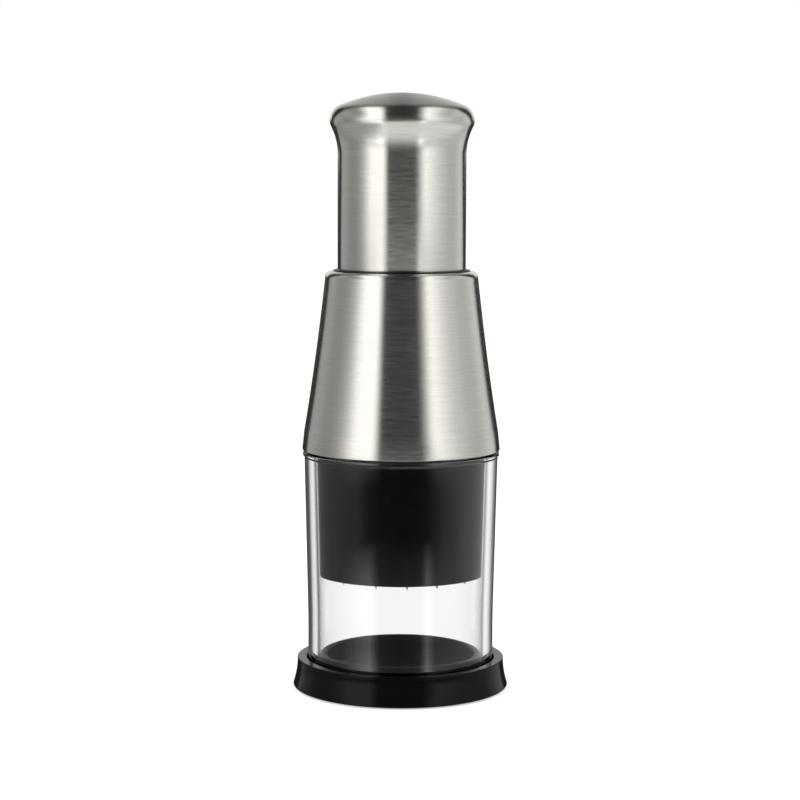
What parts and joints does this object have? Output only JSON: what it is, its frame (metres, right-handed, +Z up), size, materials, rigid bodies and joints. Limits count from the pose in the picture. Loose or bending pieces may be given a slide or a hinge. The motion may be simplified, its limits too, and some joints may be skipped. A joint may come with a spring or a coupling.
{
  "type": "vegetable chopper",
  "caption": "Round hand-press vegetable chopper: a sprung steel handle drives strip blades through a slotted sleeve into a clear cup on a black base.",
  "frame": {"origin": "centre of the foot ring's underside, on the surface that the chopper stands on", "axes": "+Z up along the axis of the handle, cone, cup and base; -Y towards the viewer of the picture"},
  "size_m": [0.059, 0.059, 0.1625],
  "materials": {
    "brushed_steel": "fine brushing round the axis",
    "bright_steel": "turned and plated",
    "blade_steel": "rolled strip with a ground edge",
    "clear_plastic": "clear polished",
    "black_gloss": "glossy moulded",
    "black_satin": "satin moulded",
    "grey_plastic": "moulded",
    "rubber": "soft matt"
  },
  "bodies": {
    "base": {"base_cap": "black_gloss", "foot_ring": "rubber", "cup_gasket": "rubber"},
    "cup": {"clear_cup": "clear_plastic"},
    "housing": {"cone_shell": "brushed_steel", "housing_liner": "black_satin", "guide_bush": "black_satin", "neck_gasket": "rubber", "sleeve_ring": "black_satin", "guide_plate": "grey_plastic", "guide_screws": "bright_steel", "spring_washer": "bright_steel", "press_buffer": "rubber", "return_spring": "bright_steel"},
    "sleeve": {"blade_sleeve": "black_satin"},
    "plunger": {"handle_shell": "brushed_steel", "handle_core": "black_satin", "plunger_shaft": "bright_steel", "shaft_washer": "bright_steel", "shaft_nut": "bright_steel", "top_buffer": "rubber", "blade_carrier": "black_satin", "blade_rods": "bright_steel", "carrier_pin": "bright_steel", "chopping_blade_1": "blade_steel", "chopping_blade_2": "blade_steel", "chopping_blade_3": "blade_steel", "chopping_blade_4": "blade_steel", "chopping_blade_5": "blade_steel"}
  },
  "joints": [
    {"name": "cup_lift", "type": "slide", "parent": "base", "child": "cup", "axis": [0, 0, 1], "range_m": [0, 0.02]},
    {"name": "housing_lift", "type": "slide", "parent": "cup", "child": "housing", "axis": [0, 0, 1], "range_m": [0, 0.045]},
    {"name": "sleeve_turn", "type": "hinge", "parent": "housing", "child": "sleeve", "pos_m": [0, 0, 0.07], "axis": [0, 0, 1], "continuous": true},
    {"name": "handle_press", "type": "slide", "parent": "sleeve", "child": "plunger", "axis": [0, 0, -1], "range_m": [0, 0.0261], "stiffness_N_per_m": 600, "springref_m": -0.012, "deforming": ["return_spring"]}
  ]
}
